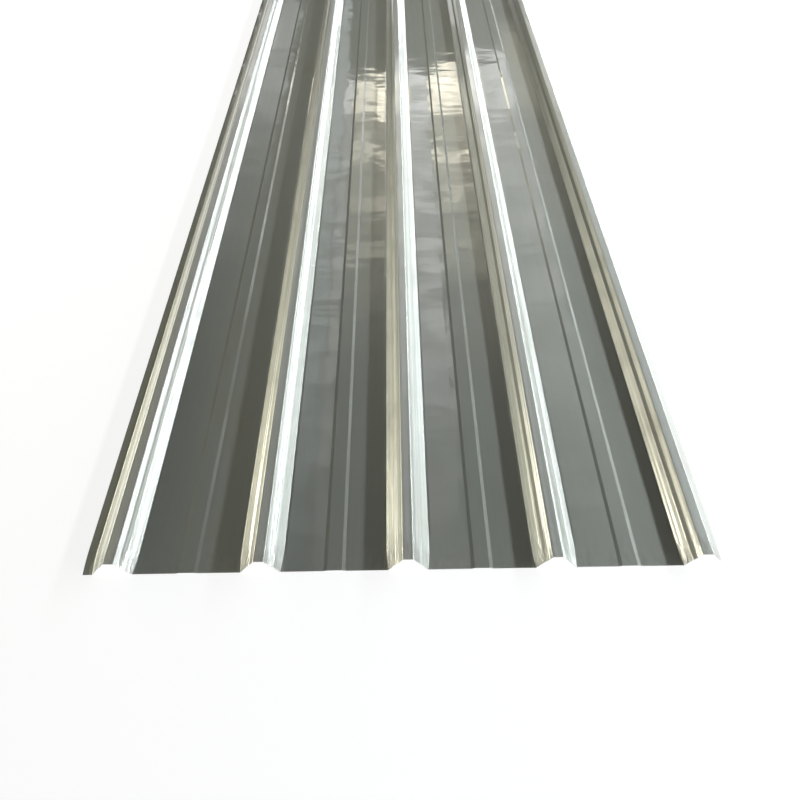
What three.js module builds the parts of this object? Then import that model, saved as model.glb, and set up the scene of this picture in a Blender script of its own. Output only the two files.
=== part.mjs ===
// Trapezoidal corrugated roofing sheet, cold-formed from one flat strip of zinc-coated steel.
// Five tall ribs stand on a flat sheet and a low stiffening rib runs along each pan between them.
// The left edge ends in a narrow flat lip (underlap), the right edge ends part-way down the
// last rib's outer flank (overlap), so neighbouring sheets nest rib over rib.
// Axes: X across the ribs, Y along them, Z up. Origin at the bottom centre of the bounding box.
// All sizes are in millimetres.

import * as THREE from 'three';

// ---- the sheet as a whole ----
const sheetLength = 2440;
const sheetThickness = 0.5;

// ---- tall ribs ----
const ribCount = 5;
const ribPitch = 205;
const ribHeight = 25;
const ribBaseWidth = 60;
const ribCrestWidth = 14;
const ribBendRadius = 2.5;

// ---- narrow ledge formed into every flank of a tall rib ----
const ledgeHeight = 15.5;
const ledgeWidth = 2;
const ledgeBendRadius = 1;

// ---- low stiffening rib in the middle of every pan ----
const stiffenerHeight = 2;
const stiffenerBaseWidth = 30;
const stiffenerCrestWidth = 20;
const stiffenerBendRadius = 2.5;

// ---- side edges ----
const lipWidth = 13;
const lastFlankShare = 0.72;

// ---- fineness of the bends ----
const facetsPerBend = 4;

// ---- surface: bright zinc spangle-free coating ----
const coatingColour = 0x9fa09b;
const coatingRoughness = 0.22;
const coatingMetalness = 1;

// Horizontal run of one flank, without its ledge, for each millimetre it climbs.
const flankRun = (ribBaseWidth - ribCrestWidth) / 2;
const flankRunPerRise = (flankRun - ledgeWidth) / ribHeight;

function corner(x, z, radius) {
  return { x, z, radius };
}

// Corners of a rising flank, from the pan up to the crest; side is -1 for left, +1 for right.
function flankCorners(centre, side) {
  const foot = ribBaseWidth / 2;
  const ledgeOuter = foot - flankRunPerRise * ledgeHeight;
  const ledgeInner = ledgeOuter - ledgeWidth;
  return [
    corner(centre + side * foot, 0, ribBendRadius),
    corner(centre + side * ledgeOuter, ledgeHeight, ledgeBendRadius),
    corner(centre + side * ledgeInner, ledgeHeight, ledgeBendRadius),
    corner(centre + side * ribCrestWidth / 2, ribHeight, ribBendRadius),
  ];
}

function ribCorners(centre) {
  const rising = flankCorners(centre, -1);
  const falling = flankCorners(centre, 1).reverse();
  return [...rising, ...falling];
}

function stiffenerCorners(centre) {
  return [
    corner(centre - stiffenerBaseWidth / 2, 0, stiffenerBendRadius),
    corner(centre - stiffenerCrestWidth / 2, stiffenerHeight, stiffenerBendRadius),
    corner(centre + stiffenerCrestWidth / 2, stiffenerHeight, stiffenerBendRadius),
    corner(centre + stiffenerBaseWidth / 2, 0, stiffenerBendRadius),
  ];
}

// The mid-thickness line of the sheet as sharp corners from the left edge to the right edge.
function midlineCorners() {
  const corners = [corner(-ribBaseWidth / 2 - lipWidth, 0, 0)];
  for (let rib = 0; rib < ribCount; rib += 1) {
    const centre = rib * ribPitch;
    corners.push(...ribCorners(centre));
    if (rib < ribCount - 1) {
      corners.push(...stiffenerCorners(centre + ribPitch / 2));
    }
  }
  corners[corners.length - 1] = lastFlankEnd(corners.at(-2));
  return corners;
}

// The outer flank of the last rib stops above the pan; ledgeFoot is the corner it hangs from.
function lastFlankEnd(ledgeFoot) {
  const height = ribHeight * (1 - lastFlankShare);
  const drop = ledgeFoot.z - height;
  return corner(ledgeFoot.x + drop * flankRunPerRise, height, 0);
}

function heading(from, to) {
  return Math.atan2(to.z - from.z, to.x - from.x);
}

// Turns every inner corner into an arc tangent to the two straight stretches beside it.
function bendsOf(corners) {
  const bends = [];
  for (let i = 1; i < corners.length - 1; i += 1) {
    const here = corners[i];
    const entry = heading(corners[i - 1], here);
    const exit = heading(here, corners[i + 1]);
    const turn = Math.sign(exit - entry);
    const bisector = (entry + exit) / 2 + turn * Math.PI / 2;
    const reach = here.radius / Math.cos((exit - entry) / 2);
    const x = here.x + reach * Math.cos(bisector);
    const z = here.z + reach * Math.sin(bisector);
    bends.push({ x, z, radius: here.radius, entry, exit, turn });
  }
  return bends;
}

// A point on the sheet's end, offset square to the strip; positive is above the midline.
function edgePoint(end, direction, offset) {
  const x = end.x - offset * Math.sin(direction);
  const z = end.z + offset * Math.cos(direction);
  return [x, z];
}

// Adds one bend of the upper (+offset) or lower (-offset) surface to the outline.
function traceBend(outline, bend, offset, backwards) {
  const radius = bend.radius - bend.turn * offset;
  const square = -bend.turn * Math.PI / 2;
  const first = (backwards ? bend.exit : bend.entry) + square;
  const last = (backwards ? bend.entry : bend.exit) + square;
  outline.absarc(bend.x, bend.z, radius, first, last, last < first);
}

function sheetOutline(corners) {
  const half = sheetThickness / 2;
  const bends = bendsOf(corners);
  const leftHeading = bends[0].entry;
  const rightHeading = bends.at(-1).exit;
  const outline = new THREE.Shape();
  outline.moveTo(...edgePoint(corners[0], leftHeading, half));
  bends.forEach((bend) => traceBend(outline, bend, half, false));
  outline.lineTo(...edgePoint(corners.at(-1), rightHeading, half));
  outline.lineTo(...edgePoint(corners.at(-1), rightHeading, -half));
  bends.reverse().forEach((bend) => traceBend(outline, bend, -half, true));
  outline.lineTo(...edgePoint(corners[0], leftHeading, -half));
  outline.closePath();
  return outline;
}

// Extrudes the profile along Y and puts the origin at the bottom centre of the sheet.
function sheetGeometry() {
  const outline = sheetOutline(midlineCorners());
  const curveSegments = facetsPerBend / 2;
  const settings = { depth: sheetLength, bevelEnabled: false, curveSegments };
  const geometry = new THREE.ExtrudeGeometry(outline, settings);
  geometry.rotateX(Math.PI / 2);
  geometry.computeBoundingBox();
  const middle = geometry.boundingBox.getCenter(new THREE.Vector3());
  geometry.translate(-middle.x, -middle.y, -geometry.boundingBox.min.z);
  return geometry;
}

const coating = new THREE.MeshStandardMaterial({
  color: coatingColour,
  roughness: coatingRoughness,
  metalness: coatingMetalness,
});

const sheet = new THREE.Mesh(sheetGeometry(), coating);
sheet.name = 'corrugated_sheet';

const part = new THREE.Group();
part.name = 'corrugated_metal_sheet';
part.add(sheet);

export default part;
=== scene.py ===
"""Looks of a trapezoidal zinc-coated roofing sheet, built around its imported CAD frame.

Axes as in the frame: X across the ribs, Y along them, Z up, in metres. The sheet lies on a
white floor. Its own fine mesh replaces the faceted CAD node and keeps the same section, with
softer ledges and lower stiffeners.
"""

import math

import bpy
import numpy as np
from mathutils import Matrix, Vector


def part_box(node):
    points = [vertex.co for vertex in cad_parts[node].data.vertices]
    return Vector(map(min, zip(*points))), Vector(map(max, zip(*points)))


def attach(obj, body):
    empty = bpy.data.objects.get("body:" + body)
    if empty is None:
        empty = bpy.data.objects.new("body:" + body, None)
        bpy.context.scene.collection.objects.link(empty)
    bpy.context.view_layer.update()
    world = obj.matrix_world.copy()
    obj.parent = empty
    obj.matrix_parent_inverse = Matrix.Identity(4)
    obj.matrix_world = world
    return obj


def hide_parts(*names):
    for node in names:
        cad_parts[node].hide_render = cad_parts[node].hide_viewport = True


MM = 0.001

# ---- the sheet's section, the same sizes as in the part's source ----
NODE = "corrugated_sheet"
SLOT = "zinc_coated_steel"
THICKNESS = 0.5 * MM
RIB_COUNT = 5
RIB_PITCH = 205 * MM
RIB_HEIGHT = 25 * MM
RIB_BASE = 60 * MM
RIB_CREST = 14 * MM
RIB_BEND = 2.5 * MM
LEDGE_HEIGHT = 15.5 * MM
LEDGE_WIDTH = 2 * MM
STIFFENER_HEIGHT = 2 * MM
STIFFENER_BASE = 30 * MM
STIFFENER_CREST = 20 * MM
STIFFENER_BEND = 2.5 * MM
LIP_WIDTH = 13 * MM
LAST_FLANK_SHARE = 0.72

# ---- relief softer than the CAD solid's: the ledges slope, and the stiffeners are sunk ----
LEFT_LEDGE_RISE = 3.6 * MM
LEFT_LEDGE_BEND = 2.5 * MM
RIGHT_LEDGE_RISE = 7.6 * MM
RIGHT_LEDGE_BEND = 6 * MM
STIFFENER_SINKS = (0.95 * MM, 0.7 * MM, 0.65 * MM, 0.7 * MM)

# ---- how finely the mesh follows the section and the length ----
BEND_STEP = math.radians(8.5)
FLAT_STEP = 9 * MM
END_ROWS = 14
ROWS = 120

# ---- slow waves in the pans: how far the longest one rises and falls, the lengths of all, and
# how they are shifted against each other and from pan to pan ----
PAN_WAVE = 0.16 * MM
PAN_WAVE_LENGTHS = (0.61, 0.37, 0.23)
WAVE_SHIFT = 2.4
PAN_SHIFT = 1.9

# ---- relief drawn by the material: scratches, roll lines and ripples, as depths ----
FINE_RELIEF = 0.002 * MM
ROLL_RELIEF = 0.4 * MM
RIPPLE_RELIEF = 0.8 * MM
WOBBLE_RELIEF = 0.3 * MM
DENT_RELIEF = 1.2 * MM
DENT_LENGTH = 70 * MM

# ---- zinc coating: how it shines ----
METALLIC = 0.8
ANISOTROPY = 0.5
COAT_ROUGHNESS = 0.045
COAT_IOR = 2.5
ROUGHNESS = 0.40
FINE_ROUGHNESS = 0.10
STAIN_ROUGHNESS = 0.12
RUBBED_ROUGHNESS = -0.06
HANDLED_ROUGHNESS = 0.10

# ---- zinc coating: colours ----
ZINC_DULL = (0.61, 0.635, 0.58, 1)
ZINC_CLEAN = (0.69, 0.71, 0.655, 1)
DARK_LINE = (0.40, 0.41, 0.36, 1)
BRIGHT_LINE = (0.90, 0.91, 0.86, 1)
# painted highlight: the lower flanks are paler, standing in for the bright reflection on them
PAINTED_FOOT_HIGHLIGHT = (0.88, 0.90, 0.85, 1)
STAINED = (0.60, 0.59, 0.52, 1)
# painted light: the crests are paler, standing in for the light that reaches them unshaded
PAINTED_CREST_LIGHT = (0.91, 0.93, 0.88, 1)
RUBBED = (0.78, 0.78, 0.75, 1)
HANDLED = (0.52, 0.51, 0.47, 1)
# painted highlight: a pale band along the cut ends, standing in for their bright glint
PAINTED_CUT_HIGHLIGHT = (0.93, 0.93, 0.90, 1)
BARE_STEEL = (0.60, 0.59, 0.56, 1)

# ---- zinc coating: noises, as scales along X, Y and Z, detail and roughness ----
NOISES = {
    "fine": ((900.0, 2.0, 900.0), 2.0, 0.5),
    "wide": ((95.0, 0.8, 95.0), 2.0, 0.5),
    "rolled": ((210.0, 0.5, 210.0), 1.5, 0.5),
    "rippled": ((7.0, 14.0, 7.0), 2.0, 0.45),
    "wobble": ((17.0, 9.0, 17.0), 1.0, 0.5),
    "lines": ((330.0, 0.7, 330.0), 1.5, 0.6),
    "stain": ((9.0, 3.5, 9.0), 4.0, 0.6),
    "patchy": ((60.0, 22.0, 60.0), 3.0, 0.65),
}

# ---- zinc coating: values of those noises between which a mark comes in ----
STREAK_BAND = (0.3, 0.7)
DARK_LINE_BAND = (0.3, 0.5)
BRIGHT_LINE_BAND = (0.52, 0.7)
STAIN_BAND = (0.52, 0.72)
RUBBED_BAND = (0.4, 0.62)
HANDLED_BAND = (0.42, 0.66)

# ---- zinc coating: how strong each mark is ----
DARK_LINE_SHARE = 0.65
BRIGHT_LINE_SHARE = 0.8
# strength of the painted highlight on the lower flanks
FOOT_HIGHLIGHT_SHARE = 0.6
STAIN_SHARE = 0.5
# strength of the painted light on the crests
CREST_LIGHT_SHARE = 0.8
RUBBED_SHARE = 0.6
RUBBED_LEAST = 0.15
HANDLED_SHARE = 0.5
PAN_STREAK_SHARE = 0.2
PAN_ROLL_SHARE = 0.06

# ---- zinc coating: its zones, measured from a rib's middle, a bend or a cut end ----
RUBBED_WIDTH = 2.2 * MM
# width over which the painted light on the crests fades out
CREST_LIGHT_FADE = 1.5 * MM
# the lower flanks carry a painted highlight between these distances, fading out past the feet
FOOT_HIGHLIGHT_BAND = (18 * MM, 23 * MM)
FOOT_HIGHLIGHT_FADE = 1.5 * MM
FLANK_FADE = 4 * MM
# a painted highlight runs along the cut ends between these distances
CUT_HIGHLIGHT_BAND = (0.6 * MM, 1.6 * MM)
CUT_BAND = (0.05 * MM, 0.3 * MM)
HANDLED_LENGTH = 60 * MM

# ---- the cut ends, where the rolled ribs spring narrower ----
NECK_LENGTH = 45 * MM
NECK_IN = 2.5 * MM
NECK_UP = 0.25 * MM
# keeps neighbouring samples apart, so that no slope divides by zero
TINY = 1e-9

# ---- camera, fitted to the photograph's rib lines, crest ends and front edge ----
IMAGE_WIDTH = 800
FOCAL_PIXELS = 792.3
SENSOR_WIDTH = 36.0
CAMERA_PITCH = 45.02
CAMERA_YAW = 0.10
CAMERA_ROLL = -0.85
CAMERA_BEFORE_EDGE = 0.609
CAMERA_HEIGHT = 0.943
CAMERA_SIDE = 0.0003
CLIP_END = 100.0

# ---- studio: white floor ----
FLOOR_RADIUS = 25.0
FLOOR_SIDES = 96
FLOOR_ROUGHNESS = 0.9
FLOOR_DROP = -0.2 * MM
FLOOR_ALBEDO = 0.5
FLOOR_GLOW = 0.82

# ---- studio: the room's own light, past the far end and behind the camera, and the Y of the
# directions between which one turns into the other ----
ROOM_AHEAD = (0.016, 0.016, 0.011, 1)
ROOM_BEHIND = (0.08, 0.08, 0.075, 1)
AHEAD = (0.25, 0.8)

# ---- studio: a white sweep over the horizon, with the Z of the directions where it has faded
# into the room and the share of that height that stays white ----
SWEEP_COLOUR = (0.9, 0.9, 0.9, 1)
SWEEP_TOP_AHEAD = 0.08
SWEEP_TOP_BEHIND = 0.30
SWEEP_WHITE_SHARE = 0.3

# ---- studio: softboxes ----
COOL = (0.90, 0.97, 1.0)
PLAIN = (1.0, 1.0, 1.0)
CREAM = (1.0, 0.95, 0.75)
WARM = (1.0, 0.94, 0.76)

# places along the studio are metres past the sheet's front edge; a pair says where a change starts and ends
WALL_SPAN = (-2.5, 11.0)
ALL_ALONG = (-4.0, -3.0)
RIGHT_RISE = (-1.5, 4.0)
RIGHT_FADE = (7.0, 13.0)
LEFT_RISE = (0.0, 1.7)
# side softboxes: name, (x, z) of the middle, height, colour, radiance, where it brightens, where it fades
WALL_BOXES = (
    ("key_strip", (2.04, 0.93), 0.10, COOL, 25, ALL_ALONG, RIGHT_FADE),
    ("right_low", (2.20, 0.13), 0.19, COOL, 1, RIGHT_RISE, RIGHT_FADE),
    ("right_wall", (2.19, 0.35), 0.22, COOL, 2, RIGHT_RISE, RIGHT_FADE),
    ("right_window", (2.13, 0.57), 0.21, COOL, 4, RIGHT_RISE, RIGHT_FADE),
    ("right_rail", (2.06, 0.79), 0.23, COOL, 1, RIGHT_RISE, RIGHT_FADE),
    ("right_upper", (1.84, 1.19), 0.39, PLAIN, 0.3, RIGHT_RISE, RIGHT_FADE),
    ("left_near", (-1.60, 0.22), 0.34, CREAM, 4, (0.2, 0.7), (1.1, 2.3)),
    ("left_low", (-2.18, 0.14), 0.24, CREAM, 0.5, LEFT_RISE, (2, 11)),
    ("left_wall", (-2.14, 0.44), 0.33, CREAM, 1.8, LEFT_RISE, (1.5, 6.5)),
    ("left_window", (-2.05, 0.77), 0.32, CREAM, 1.4, LEFT_RISE, (1.5, 9)),
    ("left_upper", (-1.87, 1.14), 0.49, CREAM, 0.2, (0, 5), (5, 8)),
)

# the ceiling brightens slowly, and a row of lamps crosses it before it ends
CEILING_HEIGHT = 2.16
EARLY = (0.6, 4.4)
LATE = (2.7, 5.6)
LAMP_EDGE = (5.9, 6.1)
END_FADE = 0.16
# ceiling softboxes: name, (least x, greatest x), colour, where it brightens, then the radiance of
# the ceiling, what the lamps add to it, and where both end
CEILING_BOXES = (
    ("ceiling_rib", (-1.40, -1.22), PLAIN, LATE, 0.5, 1, 8.7),
    ("ceiling_0", (-1.21, -1.00), PLAIN, LATE, 0.2, 0.3, 9),
    ("ceiling_1", (-0.62, -0.44), COOL, EARLY, 0.6, 0, 9),
    ("ceiling_1b", (-0.43, -0.36), PLAIN, EARLY, 0.6, 0.8, 6.7),
    ("ceiling_2", (-0.35, -0.17), WARM, LATE, 0.6, 1.6, 6.7),
    ("ceiling_2b", (-0.16, -0.03), WARM, LATE, 0.6, 3, 6.7),
    ("ceiling_3", (-0.02, 0.30), PLAIN, EARLY, 0.8, 0.7, 7),
    ("ceiling_4", (0.31, 0.65), WARM, LATE, 0.8, 2.2, 7),
    ("ceiling_5", (0.66, 0.79), PLAIN, EARLY, 0.6, 1.8, 7.2),
    ("ceiling_5b", (0.80, 1.08), PLAIN, EARLY, 0.5, 0.6, 7.2),
    ("ceiling_6", (1.10, 1.60), WARM, LATE, 0.1, 0.3, 8),
)
# rows of thin tubes just under the ceiling, as places and radiances, and the columns they are in
TUBE_DROP = 0.01
TUBE_WIDTH = 0.15
TUBE_ROWS = ((3.9, 0.4), (4.6, 0.6), (5.3, 1.4))
TUBE_COLUMNS = (("tubes_2", (-0.35, -0.03)), ("tubes_4", (0.31, 0.65)))

# slow noise that mottles the softboxes and bends the ends of their stretches
MOTTLE = 0.5
MOTTLE_CELL = (2.4, 7.0, 2.4)
MOTTLE_DETAIL = 3.0
MOTTLE_ROUGHNESS = 0.6
MOTTLE_BAND = (0.3, 0.7)
WARP = 0.8
WARP_CELL = (6.0, 2.0, 6.0)


# ------------------------------------------------------------------ section

def flank_corners(centre, side):
    """A rising flank's corners as (x, z, bend radius), from the pan to the crest."""
    rise = LEFT_LEDGE_RISE if side < 0 else RIGHT_LEDGE_RISE
    bend = LEFT_LEDGE_BEND if side < 0 else RIGHT_LEDGE_BEND
    run = (RIB_BASE - RIB_CREST) / 2 - LEDGE_WIDTH
    lean = run / RIB_HEIGHT
    ledge_low, ledge_high = LEDGE_HEIGHT - rise / 2, LEDGE_HEIGHT + rise / 2
    ledge_outer = RIB_BASE / 2 - lean * ledge_low
    ledge_inner = RIB_BASE / 2 - LEDGE_WIDTH - lean * ledge_high
    return [
        (centre + side * RIB_BASE / 2, 0.0, RIB_BEND),
        (centre + side * ledge_outer, ledge_low, bend),
        (centre + side * ledge_inner, ledge_high, bend),
        (centre + side * RIB_CREST / 2, RIB_HEIGHT, RIB_BEND),
    ]


def stiffener_corners(centre, sink):
    """The corners of the low rib in the middle of a pan."""
    low, high = STIFFENER_BASE / 2, STIFFENER_CREST / 2
    top = STIFFENER_HEIGHT - sink
    return [
        (centre - low, 0.0, STIFFENER_BEND),
        (centre - high, top, STIFFENER_BEND),
        (centre + high, top, STIFFENER_BEND),
        (centre + low, 0.0, STIFFENER_BEND),
    ]


def midline_corners(first_rib):
    """Corners of the mid-thickness line from the lip to the free edge."""
    corners = [(first_rib - RIB_BASE / 2 - LIP_WIDTH, 0.0, 0.0)]
    for rib in range(RIB_COUNT):
        centre = first_rib + rib * RIB_PITCH
        corners += flank_corners(centre, -1)
        corners += flank_corners(centre, 1)[::-1]
        if rib < RIB_COUNT - 1:
            corners += stiffener_corners(centre + RIB_PITCH / 2, STIFFENER_SINKS[rib])
    foot, ledge = corners[-1], corners[-2]
    end_height = RIB_HEIGHT * (1 - LAST_FLANK_SHARE)
    share = (ledge[1] - end_height) / (ledge[1] - foot[1])
    corners[-1] = (ledge[0] + share * (foot[0] - ledge[0]), end_height, 0.0)
    return corners


def sample_bend(before, here, after):
    """Points and headings round the arc that is tangent to both sides of a corner."""
    entry = math.atan2(here[1] - before[1], here[0] - before[0])
    leave = math.atan2(after[1] - here[1], after[0] - here[0])
    turn = leave - entry
    side = math.copysign(1, turn)
    reach = here[2] / math.cos(turn / 2)
    middle = (entry + leave) / 2 + side * math.pi / 2
    centre = (here[0] + reach * math.cos(middle), here[1] + reach * math.sin(middle))
    steps = max(3, math.ceil(abs(turn) / BEND_STEP))
    samples = []
    for i in range(steps + 1):
        heading = entry + turn * i / steps
        x = centre[0] + side * here[2] * math.sin(heading)
        z = centre[1] - side * here[2] * math.cos(heading)
        samples.append((x, z, heading))
    return samples


def fill_flat(start, end):
    """Samples strictly between two points of a straight stretch."""
    length = math.hypot(end[0] - start[0], end[1] - start[1])
    steps = max(1, round(length / FLAT_STEP))
    heading = math.atan2(end[1] - start[1], end[0] - start[0])
    return [
        (start[0] + (end[0] - start[0]) * i / steps, start[1] + (end[1] - start[1]) * i / steps, heading)
        for i in range(1, steps)
    ]


def midline_samples(corners):
    """The whole mid-thickness line as an array of x, z and heading."""
    first, last = corners[0], corners[-1]
    samples = [(first[0], first[1], 0.0)]
    for before, here, after in zip(corners, corners[1:], corners[2:]):
        bend = sample_bend(before, here, after)
        samples += fill_flat(samples[-1], bend[0]) + bend
    heading = samples[-1][2]
    end = (last[0], last[1], heading)
    samples += fill_flat(samples[-1], end) + [end]
    return np.array(samples)


# ------------------------------------------------------------------ mesh

def wave_field(x, y, first_rib):
    """Height and both slopes of the slow waves in the pans, on a grid of x by y."""
    phase = (x - first_rib) / RIB_PITCH
    across = np.sin(np.pi * phase) ** 2
    across_slope = np.pi / RIB_PITCH * np.sin(2 * np.pi * phase)
    height = np.zeros((len(y), len(x)))
    slope_x = np.zeros_like(height)
    slope_y = np.zeros_like(height)
    pan = np.floor(phase)
    for i, length in enumerate(PAN_WAVE_LENGTHS):
        share = PAN_WAVE / (i + 1)
        shift = WAVE_SHIFT * i + PAN_SHIFT * pan * (i + 1)
        angle = 2 * np.pi * y[:, None] / length + shift[None, :]
        height += share * across * np.sin(angle)
        slope_x += share * across_slope * np.sin(angle)
        slope_y += share * across * np.cos(angle) * 2 * np.pi / length
    return height, slope_x, slope_y


def neck_field(samples, y, first_rib):
    """Sideways pull of the ribs' feet near both cut ends, with its slopes in x and y."""
    rib = np.clip(np.round((samples[:, 0] - first_rib) / RIB_PITCH), 0, RIB_COUNT - 1)
    local = samples[:, 0] - first_rib - rib * RIB_PITCH
    knots = np.array([0, RIB_CREST / 2, RIB_BASE / 2, RIB_PITCH / 2])
    pulls = np.array([0, 0, -NECK_IN, 0])
    pull = np.interp(np.abs(local), knots, pulls) * np.sign(local)
    pull_slope = np.gradient(pull, samples[:, 0] + np.arange(len(local)) * TINY)
    depth = np.minimum(y - y.min(), y.max() - y)
    near = np.clip(1 - depth / NECK_LENGTH, 0, 1)
    fade = near * near
    fade_slope = -2 * near / NECK_LENGTH * np.where(y < (y.min() + y.max()) / 2, 1, -1)
    return pull, pull_slope, fade, fade_slope


def surface_grid(samples, y, offset, first_rib):
    """Vertices and normals of one face of the sheet; offset is from the mid-thickness."""
    nx, nz = -np.sin(samples[:, 2]), np.cos(samples[:, 2])
    x = samples[:, 0] + offset * nx
    z = samples[:, 1] + offset * nz + THICKNESS / 2
    height, slope_x, slope_y = wave_field(samples[:, 0], y, first_rib)
    pull, pull_slope, fade, fade_slope = neck_field(samples, y, first_rib)
    lift = NECK_UP * samples[:, 1] / RIB_HEIGHT
    height = height + lift * fade[:, None]
    slope_y = slope_y + lift * fade_slope[:, None]
    points = np.empty(height.shape + (3,))
    points[..., 0] = x + pull * fade[:, None]
    points[..., 1] = y[:, None]
    points[..., 2] = z + height - height.min()
    stretch = 1 + pull_slope * fade[:, None]
    shear = pull * fade_slope[:, None]
    normals = np.empty_like(points)
    normals[..., 0] = (nx - slope_x * nz) / stretch
    normals[..., 1] = -shear * normals[..., 0] - slope_y * nz
    normals[..., 2] = nz
    normals /= np.linalg.norm(normals, axis=-1, keepdims=True)
    return points, normals * math.copysign(1, offset)


def row_places(low, high):
    """Rows along the sheet, closer together where the ends neck in."""
    end = np.linspace(0, NECK_LENGTH, END_ROWS, endpoint=False)
    middle = np.linspace(low + NECK_LENGTH, high - NECK_LENGTH, ROWS)
    return np.concatenate([low + end, middle, (high - end)[::-1]])


def grid_faces(rows, columns, start, flip):
    """Quads of a grid whose vertices are numbered row by row from start."""
    index = start + np.arange(rows * columns).reshape(rows, columns)
    quads = np.stack([index[:-1, :-1], index[:-1, 1:], index[1:, 1:], index[1:, :-1]], -1)
    quads = quads.reshape(-1, 4)
    return quads[:, ::-1] if flip else quads


def edge_faces(upper, lower):
    """Quads that close the cut between two matching loops of vertices."""
    return np.stack([upper, lower, np.roll(lower, -1), np.roll(upper, -1)], -1)


def build_sheet(box_low, box_high):
    """The sheet as one closed mesh with exact smooth normals and crisp cut edges."""
    lip_to_rib = LIP_WIDTH + RIB_BASE / 2
    first_rib = box_low.x + lip_to_rib
    samples = midline_samples(midline_corners(first_rib))
    y = row_places(box_low.y, box_high.y)
    top, top_normals = surface_grid(samples, y, THICKNESS / 2, first_rib)
    under, under_normals = surface_grid(samples, y, -THICKNESS / 2, first_rib)
    rows, columns = top.shape[:2]
    count = rows * columns
    vertices = np.concatenate([top.reshape(-1, 3), under.reshape(-1, 3)])
    index = np.arange(count).reshape(rows, columns)
    rim = np.concatenate([index[0], index[1:, -1], index[-1, -2::-1], index[-2:0:-1, 0]])
    faces_top = grid_faces(rows, columns, 0, False)
    faces_under = grid_faces(rows, columns, count, True)
    faces_rim = edge_faces(rim, rim + count)
    faces = np.concatenate([faces_top, faces_under, faces_rim])
    mesh = bpy.data.meshes.new(NODE + "_skin")
    mesh.from_pydata(vertices.tolist(), [], faces.tolist())
    mesh.polygons.foreach_set("use_smooth", np.ones(len(faces), bool))
    smooth = np.concatenate([top_normals.reshape(-1, 3), under_normals.reshape(-1, 3)])
    loop_normals = smooth[faces.reshape(-1)].reshape(-1, 4, 3)
    corners = vertices[faces_rim]
    flat = np.cross(corners[:, 2] - corners[:, 0], corners[:, 3] - corners[:, 1])
    flat /= np.linalg.norm(flat, axis=1, keepdims=True)
    loop_normals[-len(faces_rim):] = flat[:, None, :]
    mesh.normals_split_custom_set(loop_normals.reshape(-1, 3).tolist())
    sheet = bpy.data.objects.new("sheet_skin", mesh)
    bpy.context.scene.collection.objects.link(sheet)
    return sheet


# ------------------------------------------------------------------ materials

def new_material(name):
    """An empty node material with its Principled shader."""
    material = bpy.data.materials.new(name)
    material.use_nodes = True
    return material, material.node_tree, material.node_tree.nodes["Principled BSDF"]


def value_node(tree, operation, first, second=0.5, third=0.5, clamp=False):
    """A Math node; each input is a number or another node's output."""
    node = tree.nodes.new("ShaderNodeMath")
    node.operation = operation
    node.use_clamp = clamp
    for socket, value in zip(node.inputs, (first, second, third)):
        if isinstance(value, (int, float)):
            socket.default_value = value
        else:
            tree.links.new(value, socket)
    return node.outputs["Value"]


def noise_node(tree, vector, cell, detail=2.0, roughness=0.5):
    """Noise whose cells are stretched; cell gives the scale along each axis."""
    mapping = tree.nodes.new("ShaderNodeMapping")
    mapping.inputs["Scale"].default_value = cell
    tree.links.new(vector, mapping.inputs["Vector"])
    noise = tree.nodes.new("ShaderNodeTexNoise")
    noise.inputs["Scale"].default_value = 1.0
    noise.inputs["Detail"].default_value = detail
    noise.inputs["Roughness"].default_value = roughness
    tree.links.new(mapping.outputs["Vector"], noise.inputs["Vector"])
    return noise.outputs["Fac"]


def map_range(tree, value, from_low, from_high, to_low, to_high):
    """A clamped smooth remap of a value."""
    node = tree.nodes.new("ShaderNodeMapRange")
    node.interpolation_type = "SMOOTHSTEP"
    names = ("From Min", "From Max", "To Min", "To Max")
    for name, number in zip(names, (from_low, from_high, to_low, to_high)):
        node.inputs[name].default_value = number
    tree.links.new(value, node.inputs["Value"])
    return node.outputs["Result"]


def mix_colour(tree, factor, first, second):
    """A colour mixed from two colours, each a tuple or another node's output."""
    node = tree.nodes.new("ShaderNodeMix")
    node.data_type = "RGBA"
    sockets = [socket for socket in node.inputs if socket.type == "RGBA"]
    tree.links.new(factor, node.inputs[0])
    for socket, value in zip(sockets, (first, second)):
        if isinstance(value, tuple):
            socket.default_value = value
        else:
            tree.links.new(value, socket)
    return [socket for socket in node.outputs if socket.type == "RGBA"][0]


def distance_from_end(tree, y, box_low, box_high):
    """How far a point is from the nearer cut end."""
    middle = (box_low.y + box_high.y) / 2
    half = (box_high.y - box_low.y) / 2
    from_middle = value_node(tree, "ABSOLUTE", value_node(tree, "SUBTRACT", y, middle))
    return value_node(tree, "SUBTRACT", half, from_middle)


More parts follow.
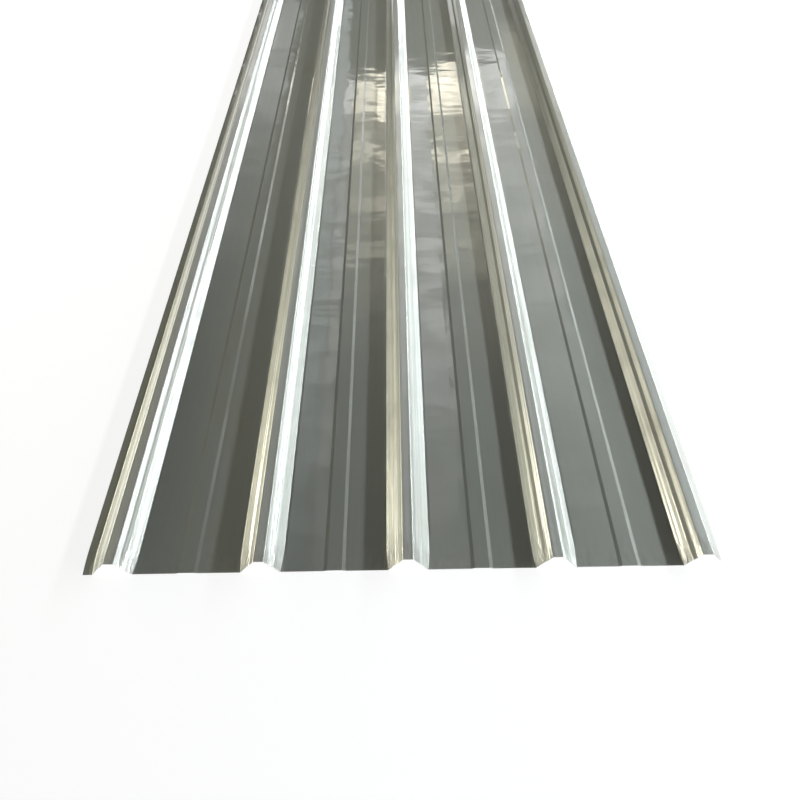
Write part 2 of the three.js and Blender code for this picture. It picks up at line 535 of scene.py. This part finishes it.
def zinc_zones(tree, from_rib, from_end, patchy):
    """Masks of the rubbed bends, handled ends, cuts and whole ribs, and of the painted highlights on the
    crests, the lower flanks (feet) and along the cut ends.
    """
    crest, base = RIB_CREST / 2, RIB_BASE / 2
    from_bend = value_node(tree, "ABSOLUTE", value_node(tree, "SUBTRACT", from_rib, crest))
    rubbed = map_range(tree, from_bend, 0.0, RUBBED_WIDTH, 1.0, 0.0)
    rubbed_patches = map_range(tree, patchy, *RUBBED_BAND, RUBBED_LEAST, 1.0)
    handled = map_range(tree, from_end, 0.0, HANDLED_LENGTH, 1.0, 0.0)
    handled_patches = map_range(tree, patchy, *HANDLED_BAND, 0.0, 1.0)
    # painted highlight on the lower flanks: paler below the ledges, fading out past the feet
    foot = map_range(tree, from_rib, *FOOT_HIGHLIGHT_BAND, 0.0, 1.0)
    foot_highlight_outer = map_range(tree, from_rib, base, base + FOOT_HIGHLIGHT_FADE, FOOT_HIGHLIGHT_SHARE, 0.0)
    return {
        "rubbed": value_node(tree, "MULTIPLY", rubbed, rubbed_patches),
        "handled": value_node(tree, "MULTIPLY", handled, handled_patches),
        # painted highlight along the cut ends
        "cut_highlight": map_range(tree, from_end, *CUT_HIGHLIGHT_BAND, 1.0, 0.0),
        "cut": map_range(tree, from_end, *CUT_BAND, 1.0, 0.0),
        # painted light on the crests
        "crest": map_range(tree, from_rib, crest, crest + CREST_LIGHT_FADE, 1.0, 0.0),
        # painted highlight on the lower flanks
        "foot": value_node(tree, "MULTIPLY", foot, foot_highlight_outer),
        "rib": map_range(tree, from_rib, base, base + FLANK_FADE, 1.0, 0.0),
    }


def less_on_pans(tree, value, rib, share):
    """A value that stays whole on the ribs and keeps only a share of itself on the pans."""
    kept = value_node(tree, "MULTIPLY_ADD", rib, 1 - share, share)
    return value_node(tree, "MULTIPLY", value, kept)


def zinc_colour(tree, noises, zones):
    """The coating's colour: streaks and lines on the ribs, stains, wear and bare edges, with painted
    highlights on the crests, the lower flanks and along the cut ends.
    """
    streak = map_range(tree, noises["wide"], *STREAK_BAND, 0.0, 1.0)
    streak = less_on_pans(tree, streak, zones["rib"], PAN_STREAK_SHARE)
    dark_line = map_range(tree, noises["lines"], *DARK_LINE_BAND, DARK_LINE_SHARE, 0.0)
    bright_line = map_range(tree, noises["lines"], *BRIGHT_LINE_BAND, 0.0, BRIGHT_LINE_SHARE)
    layers = (
        (value_node(tree, "MULTIPLY", zones["rib"], dark_line), DARK_LINE),
        (value_node(tree, "MULTIPLY", zones["rib"], bright_line), BRIGHT_LINE),
        # painted highlight on the lower flanks
        (zones["foot"], PAINTED_FOOT_HIGHLIGHT),
        (map_range(tree, noises["stain"], *STAIN_BAND, 0.0, STAIN_SHARE), STAINED),
        # painted light on the crests
        (value_node(tree, "MULTIPLY", zones["crest"], CREST_LIGHT_SHARE), PAINTED_CREST_LIGHT),
        (value_node(tree, "MULTIPLY", zones["rubbed"], RUBBED_SHARE), RUBBED),
        (value_node(tree, "MULTIPLY", zones["handled"], HANDLED_SHARE), HANDLED),
        # painted highlight along the cut ends
        (zones["cut_highlight"], PAINTED_CUT_HIGHLIGHT),
        (zones["cut"], BARE_STEEL),
    )
    colour = mix_colour(tree, streak, ZINC_DULL, ZINC_CLEAN)
    for share, layer in layers:
        colour = mix_colour(tree, share, colour, layer)
    return colour


def zinc_roughness(tree, noises, zones):
    """Roughness with fine streaks, dull stains and ends, and smoother rubbed bends."""
    rough = value_node(tree, "MULTIPLY_ADD", noises["fine"], FINE_ROUGHNESS, ROUGHNESS)
    rough = value_node(tree, "MULTIPLY_ADD", noises["stain"], STAIN_ROUGHNESS, rough)
    rough = value_node(tree, "MULTIPLY_ADD", zones["rubbed"], RUBBED_ROUGHNESS, rough)
    return value_node(tree, "MULTIPLY_ADD", zones["handled"], HANDLED_ROUGHNESS, rough, clamp=True)


def zinc_relief(tree, noises, zones, from_end):
    """Height of the scratches and roll lines, the pans' ripples and the ribs' end dents."""
    rib = zones["rib"]
    rolled = less_on_pans(tree, noises["rolled"], rib, PAN_ROLL_SHARE)
    rolled = value_node(tree, "MULTIPLY", rolled, ROLL_RELIEF)
    relief = value_node(tree, "MULTIPLY_ADD", noises["fine"], FINE_RELIEF, rolled)
    wobble = value_node(tree, "MULTIPLY", noises["wobble"], WOBBLE_RELIEF)
    rippled = value_node(tree, "MULTIPLY_ADD", noises["rippled"], RIPPLE_RELIEF, wobble)
    pan = value_node(tree, "SUBTRACT", 1.0, rib)
    relief = value_node(tree, "ADD", relief, value_node(tree, "MULTIPLY", rippled, pan))
    dented = map_range(tree, from_end, 0.0, DENT_LENGTH, DENT_RELIEF, 0.0)
    dented = value_node(tree, "MULTIPLY", noises["patchy"], dented)
    return value_node(tree, "ADD", relief, value_node(tree, "MULTIPLY", dented, rib))


def zinc_material(box_low, box_high):
    """Bright zinc coating with roll streaks, faint stains, rubbed bends and bare cut ends, and with painted
    highlights on the crests, the lower flanks and along the cut ends.
    """
    material, tree, shader = new_material(SLOT)
    shader.inputs["Metallic"].default_value = METALLIC
    shader.inputs["Anisotropic"].default_value = ANISOTROPY
    shader.inputs["Coat Weight"].default_value = 1.0
    shader.inputs["Coat Roughness"].default_value = COAT_ROUGHNESS
    shader.inputs["Coat IOR"].default_value = COAT_IOR
    tangent = tree.nodes.new("ShaderNodeCombineXYZ")
    tangent.inputs["X"].default_value = 1.0
    tree.links.new(tangent.outputs["Vector"], shader.inputs["Tangent"])

    place = tree.nodes.new("ShaderNodeTexCoord").outputs["Object"]
    split = tree.nodes.new("ShaderNodeSeparateXYZ")
    tree.links.new(place, split.inputs["Vector"])
    noises = {name: noise_node(tree, place, *values) for name, values in NOISES.items()}
    first_rib = box_low.x + LIP_WIDTH + RIB_BASE / 2
    from_rib = value_node(tree, "SUBTRACT", split.outputs["X"], first_rib)
    from_rib = value_node(tree, "PINGPONG", from_rib, RIB_PITCH / 2)
    from_end = distance_from_end(tree, split.outputs["Y"], box_low, box_high)
    zones = zinc_zones(tree, from_rib, from_end, noises["patchy"])

    tree.links.new(zinc_colour(tree, noises, zones), shader.inputs["Base Color"])
    tree.links.new(zinc_roughness(tree, noises, zones), shader.inputs["Roughness"])
    bump = tree.nodes.new("ShaderNodeBump")
    bump.inputs["Distance"].default_value = 1.0
    tree.links.new(zinc_relief(tree, noises, zones, from_end), bump.inputs["Height"])
    tree.links.new(bump.outputs["Normal"], shader.inputs["Normal"])
    tree.links.new(bump.outputs["Normal"], shader.inputs["Coat Normal"])
    return material


def floor_material():
    """White studio floor: part lit, part self-lit where the camera or the metal sees it."""
    material, tree, shader = new_material("studio_floor")
    shader.inputs["Base Color"].default_value = (FLOOR_ALBEDO, FLOOR_ALBEDO, FLOOR_ALBEDO, 1)
    shader.inputs["Roughness"].default_value = FLOOR_ROUGHNESS
    shader.inputs["Specular IOR Level"].default_value = 0.0
    shader.inputs["Emission Color"].default_value = (1, 1, 1, 1)
    path = tree.nodes.new("ShaderNodeLightPath")
    seen = value_node(tree, "MAXIMUM", path.outputs["Is Camera Ray"], path.outputs["Is Glossy Ray"])
    seen = value_node(tree, "MAXIMUM", seen, path.outputs["Is Transmission Ray"])
    tree.links.new(value_node(tree, "MULTIPLY", seen, FLOOR_GLOW), shader.inputs["Emission Strength"])
    return material


# ------------------------------------------------------------------ studio

def build_floor():
    """A round white floor."""
    bpy.ops.mesh.primitive_circle_add(
        vertices=FLOOR_SIDES, radius=FLOOR_RADIUS, fill_type="NGON", location=(0, 0, FLOOR_DROP)
    )
    floor = bpy.context.object
    floor.name = "studio_floor"
    floor.data.materials.append(floor_material())


def glow_along(data, front, stretches):
    """Make a light's radiance the sum of its stretches along Y; each is a level, a rise and a fade."""
    peak = sum(level for level, _, _ in stretches)
    data.use_nodes = True
    tree = data.node_tree
    position = tree.nodes.new("ShaderNodeNewGeometry").outputs["Position"]
    split = tree.nodes.new("ShaderNodeSeparateXYZ")
    tree.links.new(position, split.inputs["Vector"])
    warp = noise_node(tree, position, WARP_CELL)
    place = value_node(tree, "MULTIPLY_ADD", warp, WARP, split.outputs["Y"])
    zero = front + WARP / 2
    strength = 0.0
    for level, rise, fade in stretches:
        risen = map_range(tree, place, zero + rise[0], zero + rise[1], 0.0, level / peak)
        kept = map_range(tree, place, zero + fade[0], zero + fade[1], 1.0, 0.0)
        strength = value_node(tree, "MULTIPLY_ADD", risen, kept, strength)
    mottle = noise_node(tree, position, MOTTLE_CELL, MOTTLE_DETAIL, MOTTLE_ROUGHNESS)
    mottle = map_range(tree, mottle, *MOTTLE_BAND, 1 - MOTTLE, 1 + MOTTLE)
    strength = value_node(tree, "MULTIPLY", strength, mottle)
    tree.links.new(strength, tree.nodes["Emission"].inputs["Strength"])
    return peak


def softbox(name, x, z, aim, height, colour, front, span, stretches):
    """A long rectangular softbox along Y that faces a line under it."""
    start, end = span
    data = bpy.data.lights.new(name, "AREA")
    data.shape = "RECTANGLE"
    data.size, data.size_y = end - start, height
    peak = glow_along(data, front, stretches)
    data.energy = peak * math.pi * data.size * data.size_y
    data.color = colour
    light = bpy.data.objects.new(name, data)
    light.location = (x, front + (start + end) / 2, z)
    back = (Vector((x, 0, z)) - Vector(aim)).normalized()
    along = Vector((0, 1, 0))
    light.rotation_euler = Matrix((along, back.cross(along), back)).transposed().to_euler()
    light.visible_camera = False
    bpy.context.scene.collection.objects.link(light)


def ceiling_box(name, across, z, colour, front, span, stretches):
    """A softbox that looks straight down."""
    left, right = across
    middle = (left + right) / 2
    softbox(name, middle, z, (middle, 0, 0), right - left, colour, front, span, stretches)


def build_lights(box_low):
    """Softboxes on both sides and overhead, measured from the front edge."""
    front = box_low.y
    reach = WARP / 2
    for name, (x, z), height, colour, level, rise, fade in WALL_BOXES:
        span = (max(WALL_SPAN[0], rise[0] - reach), min(WALL_SPAN[1], fade[1] + reach))
        softbox(name, x, z, (0, 0, 0), height, colour, front, span, ((level, rise, fade),))
    for name, across, colour, rise, ceiling, lamp, end in CEILING_BOXES:
        fade = (end - END_FADE / 2, end + END_FADE / 2)
        span = (rise[0] - reach, fade[1] + reach)
        stretches = ((ceiling, rise, fade), (lamp, LAMP_EDGE, fade))
        ceiling_box(name, across, CEILING_HEIGHT, colour, front, span, stretches)
    stretches = [(level, (y - TUBE_WIDTH, y), (y, y + TUBE_WIDTH)) for y, level in TUBE_ROWS]
    span = (TUBE_ROWS[0][0] - TUBE_WIDTH - reach, TUBE_ROWS[-1][0] + TUBE_WIDTH + reach)
    for name, across in TUBE_COLUMNS:
        ceiling_box(name, across, CEILING_HEIGHT - TUBE_DROP, WARM, front, span, stretches)


def build_world():
    """A room that is dark past the far end and grey elsewhere, with a white sweep round the floor."""
    world = bpy.data.worlds.new("studio")
    bpy.context.scene.world = world
    world.use_nodes = True
    tree = world.node_tree
    split = tree.nodes.new("ShaderNodeSeparateXYZ")
    tree.links.new(tree.nodes.new("ShaderNodeTexCoord").outputs["Generated"], split.inputs["Vector"])
    ahead = map_range(tree, split.outputs["Y"], *AHEAD, 0.0, 1.0)
    room = mix_colour(tree, ahead, ROOM_BEHIND, ROOM_AHEAD)
    top = map_range(tree, ahead, 0.0, 1.0, SWEEP_TOP_BEHIND, SWEEP_TOP_AHEAD)
    share = value_node(tree, "DIVIDE", split.outputs["Z"], top)
    over = map_range(tree, share, SWEEP_WHITE_SHARE, 1.0, 0.0, 1.0)
    colour = mix_colour(tree, over, SWEEP_COLOUR, room)
    tree.links.new(colour, tree.nodes["Background"].inputs["Color"])


def build_camera(box_low):
    """The photograph's camera, placed from the front edge."""
    data = bpy.data.cameras.new("camera")
    data.sensor_width = SENSOR_WIDTH
    data.lens = FOCAL_PIXELS * SENSOR_WIDTH / IMAGE_WIDTH
    data.clip_end = CLIP_END
    camera = bpy.data.objects.new("camera", data)
    camera.location = (CAMERA_SIDE, box_low.y - CAMERA_BEFORE_EDGE, CAMERA_HEIGHT)
    turn = Matrix.Rotation(math.radians(-CAMERA_YAW), 3, "Z")
    tilt = Matrix.Rotation(math.radians(90 - CAMERA_PITCH), 3, "X")
    roll = Matrix.Rotation(math.radians(CAMERA_ROLL), 3, "Z")
    camera.rotation_euler = (turn @ tilt @ roll).to_euler()
    bpy.context.scene.collection.objects.link(camera)
    bpy.context.scene.camera = camera


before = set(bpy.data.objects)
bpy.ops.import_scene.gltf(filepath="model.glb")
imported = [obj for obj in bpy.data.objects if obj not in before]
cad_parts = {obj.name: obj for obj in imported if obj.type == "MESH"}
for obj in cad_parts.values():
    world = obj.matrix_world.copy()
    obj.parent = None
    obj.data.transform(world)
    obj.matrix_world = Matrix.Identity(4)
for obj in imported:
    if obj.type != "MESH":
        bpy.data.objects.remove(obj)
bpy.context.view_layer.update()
low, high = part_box(NODE)

sheet = build_sheet(low, high)
sheet.data.materials.append(zinc_material(low, high))
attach(sheet, "root")
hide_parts(NODE)

build_floor()
build_lights(low)
build_world()
build_camera(low)
bpy.context.scene.view_settings.view_transform = "Standard"
